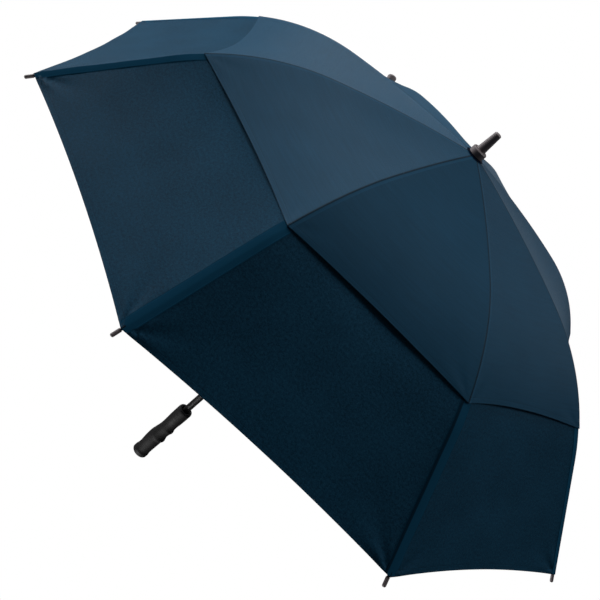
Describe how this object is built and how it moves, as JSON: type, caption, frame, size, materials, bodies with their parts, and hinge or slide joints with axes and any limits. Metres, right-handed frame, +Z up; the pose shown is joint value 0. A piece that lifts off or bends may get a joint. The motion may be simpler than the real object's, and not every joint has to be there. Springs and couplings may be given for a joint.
{
  "type": "golf umbrella",
  "caption": "Open vented golf umbrella with a two-layer navy canopy, folding ribs and stretchers on a sliding runner, and a straight moulded grip.",
  "frame": {"origin": "centre of the grip's bottom end, which is also the middle of the box's underside", "axes": "+Z up the shaft to the ferrule; +X along rib 1 and through the grip's finger ridges; rib 3 along +Y"},
  "size_m": [1.3046, 1.3046, 0.988],
  "materials": {
    "canopy_upper": "smooth navy polyester pongee with a faint sheen",
    "canopy_lower": "navy polyester pongee with a fine grained weave",
    "rosette": "dark woven cloth disc",
    "strap": "navy folded and stitched cloth",
    "shaft": "near-black satin coating",
    "ribs": "black glass-fibre rod, satin",
    "stretchers": "black coated steel, satin",
    "hubs": "black moulded nylon",
    "ferrule": "brown-grey moulded plastic, satin",
    "rib_tips": "brown-grey moulded plastic, satin",
    "knob": "brown-grey moulded plastic, satin",
    "grip": "black soft-touch rubber, fine texture",
    "end_cap": "black moulded plastic, fine texture",
    "latch": "black moulded plastic",
    "spring": "bright spring steel"
  },
  "bodies": {
    "shaft": {"shaft_tube": "shaft", "grip": "grip", "grip_end_cap": "end_cap", "top_notch": "hubs", "ferrule": "ferrule", "rosette": "rosette"},
    "runner": {"runner": "hubs", "latch_spring": "spring"},
    "latch_button": {"latch_button": "latch"},
    "inner_rib_1": {"inner_rib_1": "ribs", "upper_canopy_1": "canopy_upper"},
    "outer_rib_1": {"outer_rib_1": "ribs", "rib_tip_1": "rib_tips", "lower_canopy_1": "canopy_lower"},
    "stretcher_1": {"stretcher_1": "stretchers"},
    "inner_rib_2": {"inner_rib_2": "ribs", "upper_canopy_2": "canopy_upper"},
    "outer_rib_2": {"outer_rib_2": "ribs", "rib_tip_2": "rib_tips", "lower_canopy_2": "canopy_lower"},
    "stretcher_2": {"stretcher_2": "stretchers"},
    "inner_rib_3": {"inner_rib_3": "ribs", "upper_canopy_3": "canopy_upper"},
    "outer_rib_3": {"outer_rib_3": "ribs", "rib_tip_3": "rib_tips", "lower_canopy_3": "canopy_lower"},
    "stretcher_3": {"stretcher_3": "stretchers"},
    "inner_rib_4": {"inner_rib_4": "ribs", "upper_canopy_4": "canopy_upper"},
    "outer_rib_4": {"outer_rib_4": "ribs", "rib_tip_4": "rib_tips", "lower_canopy_4": "canopy_lower", "closure_knob": "knob", "closure_strap": "strap"},
    "stretcher_4": {"stretcher_4": "stretchers"},
    "inner_rib_5": {"inner_rib_5": "ribs", "upper_canopy_5": "canopy_upper"},
    "outer_rib_5": {"outer_rib_5": "ribs", "rib_tip_5": "rib_tips", "lower_canopy_5": "canopy_lower"},
    "stretcher_5": {"stretcher_5": "stretchers"},
    "inner_rib_6": {"inner_rib_6": "ribs", "upper_canopy_6": "canopy_upper"},
    "outer_rib_6": {"outer_rib_6": "ribs", "rib_tip_6": "rib_tips", "lower_canopy_6": "canopy_lower"},
    "stretcher_6": {"stretcher_6": "stretchers"},
    "inner_rib_7": {"inner_rib_7": "ribs", "upper_canopy_7": "canopy_upper"},
    "outer_rib_7": {"outer_rib_7": "ribs", "rib_tip_7": "rib_tips", "lower_canopy_7": "canopy_lower"},
    "stretcher_7": {"stretcher_7": "stretchers"},
    "inner_rib_8": {"inner_rib_8": "ribs", "upper_canopy_8": "canopy_upper"},
    "outer_rib_8": {"outer_rib_8": "ribs", "rib_tip_8": "rib_tips", "lower_canopy_8": "canopy_lower"},
    "stretcher_8": {"stretcher_8": "stretchers"}
  },
  "joints": [
    {"name": "runner_slide", "type": "slide", "parent": "shaft", "child": "runner", "axis": [0, 0, -1], "range_m": [0, 0.54945]},
    {"name": "latch_press", "type": "slide", "parent": "runner", "child": "latch_button", "axis": [0.9239, 0.3827, 0], "range_m": [0, 0.0016], "stiffness_N_per_m": 900, "springref_m": -0.0006, "deforming": ["latch_spring"]},
    {"name": "rib_1_fold", "type": "hinge", "parent": "shaft", "child": "inner_rib_1", "pos_m": [0.014, 0, 0.92851], "axis": [0, 1, 0], "range_deg": [0, 74.31], "deforming": ["upper_canopy_1"]},
    {"name": "rib_1_flex", "type": "hinge", "parent": "inner_rib_1", "child": "outer_rib_1", "pos_m": [0.361, 0, 0.84717], "axis": [0, 1, 0], "range_deg": [-27.49, 0], "deforming": ["lower_canopy_1"]},
    {"name": "stretcher_1_swing", "type": "hinge", "parent": "inner_rib_1", "child": "stretcher_1", "pos_m": [0.361, 0, 0.84717], "axis": [0, 1, 0], "range_deg": [-148.62, 0]},
    {"name": "rib_2_fold", "type": "hinge", "parent": "shaft", "child": "inner_rib_2", "pos_m": [0.0099, 0.0099, 0.92851], "axis": [-0.7071, 0.7071, 0], "range_deg": [0, 74.31], "deforming": ["upper_canopy_2"]},
    {"name": "rib_2_flex", "type": "hinge", "parent": "inner_rib_2", "child": "outer_rib_2", "pos_m": [0.25527, 0.25527, 0.84717], "axis": [-0.7071, 0.7071, 0], "range_deg": [-27.49, 0], "deforming": ["lower_canopy_2"]},
    {"name": "stretcher_2_swing", "type": "hinge", "parent": "inner_rib_2", "child": "stretcher_2", "pos_m": [0.25527, 0.25527, 0.84717], "axis": [-0.7071, 0.7071, 0], "range_deg": [-148.62, 0]},
    {"name": "rib_3_fold", "type": "hinge", "parent": "shaft", "child": "inner_rib_3", "pos_m": [0, 0.014, 0.92851], "axis": [-1, 0, 0], "range_deg": [0, 74.31], "deforming": ["upper_canopy_3"]},
    {"name": "rib_3_flex", "type": "hinge", "parent": "inner_rib_3", "child": "outer_rib_3", "pos_m": [0, 0.361, 0.84717], "axis": [-1, 0, 0], "range_deg": [-27.49, 0], "deforming": ["lower_canopy_3"]},
    {"name": "stretcher_3_swing", "type": "hinge", "parent": "inner_rib_3", "child": "stretcher_3", "pos_m": [0, 0.361, 0.84717], "axis": [-1, 0, 0], "range_deg": [-148.62, 0]},
    {"name": "rib_4_fold", "type": "hinge", "parent": "shaft", "child": "inner_rib_4", "pos_m": [-0.0099, 0.0099, 0.92851], "axis": [-0.7071, -0.7071, 0], "range_deg": [0, 74.31], "deforming": ["upper_canopy_4"]},
    {"name": "rib_4_flex", "type": "hinge", "parent": "inner_rib_4", "child": "outer_rib_4", "pos_m": [-0.25527, 0.25527, 0.84717], "axis": [-0.7071, -0.7071, 0], "range_deg": [-27.49, 0], "deforming": ["lower_canopy_4"]},
    {"name": "stretcher_4_swing", "type": "hinge", "parent": "inner_rib_4", "child": "stretcher_4", "pos_m": [-0.25527, 0.25527, 0.84717], "axis": [-0.7071, -0.7071, 0], "range_deg": [-148.62, 0]},
    {"name": "rib_5_fold", "type": "hinge", "parent": "shaft", "child": "inner_rib_5", "pos_m": [-0.014, 0, 0.92851], "axis": [0, -1, 0], "range_deg": [0, 74.31], "deforming": ["upper_canopy_5"]},
    {"name": "rib_5_flex", "type": "hinge", "parent": "inner_rib_5", "child": "outer_rib_5", "pos_m": [-0.361, 0, 0.84717], "axis": [0, -1, 0], "range_deg": [-27.49, 0], "deforming": ["lower_canopy_5"]},
    {"name": "stretcher_5_swing", "type": "hinge", "parent": "inner_rib_5", "child": "stretcher_5", "pos_m": [-0.361, 0, 0.84717], "axis": [0, -1, 0], "range_deg": [-148.62, 0]},
    {"name": "rib_6_fold", "type": "hinge", "parent": "shaft", "child": "inner_rib_6", "pos_m": [-0.0099, -0.0099, 0.92851], "axis": [0.7071, -0.7071, 0], "range_deg": [0, 74.31], "deforming": ["upper_canopy_6"]},
    {"name": "rib_6_flex", "type": "hinge", "parent": "inner_rib_6", "child": "outer_rib_6", "pos_m": [-0.25527, -0.25527, 0.84717], "axis": [0.7071, -0.7071, 0], "range_deg": [-27.49, 0], "deforming": ["lower_canopy_6"]},
    {"name": "stretcher_6_swing", "type": "hinge", "parent": "inner_rib_6", "child": "stretcher_6", "pos_m": [-0.25527, -0.25527, 0.84717], "axis": [0.7071, -0.7071, 0], "range_deg": [-148.62, 0]},
    {"name": "rib_7_fold", "type": "hinge", "parent": "shaft", "child": "inner_rib_7", "pos_m": [0, -0.014, 0.92851], "axis": [1, 0, 0], "range_deg": [0, 74.31], "deforming": ["upper_canopy_7"]},
    {"name": "rib_7_flex", "type": "hinge", "parent": "inner_rib_7", "child": "outer_rib_7", "pos_m": [0, -0.361, 0.84717], "axis": [1, 0, 0], "range_deg": [-27.49, 0], "deforming": ["lower_canopy_7"]},
    {"name": "stretcher_7_swing", "type": "hinge", "parent": "inner_rib_7", "child": "stretcher_7", "pos_m": [0, -0.361, 0.84717], "axis": [1, 0, 0], "range_deg": [-148.62, 0]},
    {"name": "rib_8_fold", "type": "hinge", "parent": "shaft", "child": "inner_rib_8", "pos_m": [0.0099, -0.0099, 0.92851], "axis": [0.7071, 0.7071, 0], "range_deg": [0, 74.31], "deforming": ["upper_canopy_8"]},
    {"name": "rib_8_flex", "type": "hinge", "parent": "inner_rib_8", "child": "outer_rib_8", "pos_m": [0.25527, -0.25527, 0.84717], "axis": [0.7071, 0.7071, 0], "range_deg": [-27.49, 0], "deforming": ["lower_canopy_8"]},
    {"name": "stretcher_8_swing", "type": "hinge", "parent": "inner_rib_8", "child": "stretcher_8", "pos_m": [0.25527, -0.25527, 0.84717], "axis": [0.7071, 0.7071, 0], "range_deg": [-148.62, 0]}
  ],
  "couplings": [
    {"joint": "rib_1_fold", "follows": "runner_slide", "rad_per_m": 2.3604},
    {"joint": "rib_1_flex", "follows": "runner_slide", "rad_per_m": -0.87315},
    {"joint": "stretcher_1_swing", "follows": "runner_slide", "rad_per_m": -4.7207},
    {"joint": "rib_2_fold", "follows": "runner_slide", "rad_per_m": 2.3604},
    {"joint": "rib_2_flex", "follows": "runner_slide", "rad_per_m": -0.87315},
    {"joint": "stretcher_2_swing", "follows": "runner_slide", "rad_per_m": -4.7207},
    {"joint": "rib_3_fold", "follows": "runner_slide", "rad_per_m": 2.3604},
    {"joint": "rib_3_flex", "follows": "runner_slide", "rad_per_m": -0.87315},
    {"joint": "stretcher_3_swing", "follows": "runner_slide", "rad_per_m": -4.7207},
    {"joint": "rib_4_fold", "follows": "runner_slide", "rad_per_m": 2.3604},
    {"joint": "rib_4_flex", "follows": "runner_slide", "rad_per_m": -0.87315},
    {"joint": "stretcher_4_swing", "follows": "runner_slide", "rad_per_m": -4.7207},
    {"joint": "rib_5_fold", "follows": "runner_slide", "rad_per_m": 2.3604},
    {"joint": "rib_5_flex", "follows": "runner_slide", "rad_per_m": -0.87315},
    {"joint": "stretcher_5_swing", "follows": "runner_slide", "rad_per_m": -4.7207},
    {"joint": "rib_6_fold", "follows": "runner_slide", "rad_per_m": 2.3604},
    {"joint": "rib_6_flex", "follows": "runner_slide", "rad_per_m": -0.87315},
    {"joint": "stretcher_6_swing", "follows": "runner_slide", "rad_per_m": -4.7207},
    {"joint": "rib_7_fold", "follows": "runner_slide", "rad_per_m": 2.3604},
    {"joint": "rib_7_flex", "follows": "runner_slide", "rad_per_m": -0.87315},
    {"joint": "stretcher_7_swing", "follows": "runner_slide", "rad_per_m": -4.7207},
    {"joint": "rib_8_fold", "follows": "runner_slide", "rad_per_m": 2.3604},
    {"joint": "rib_8_flex", "follows": "runner_slide", "rad_per_m": -0.87315},
    {"joint": "stretcher_8_swing", "follows": "runner_slide", "rad_per_m": -4.7207}
  ]
}
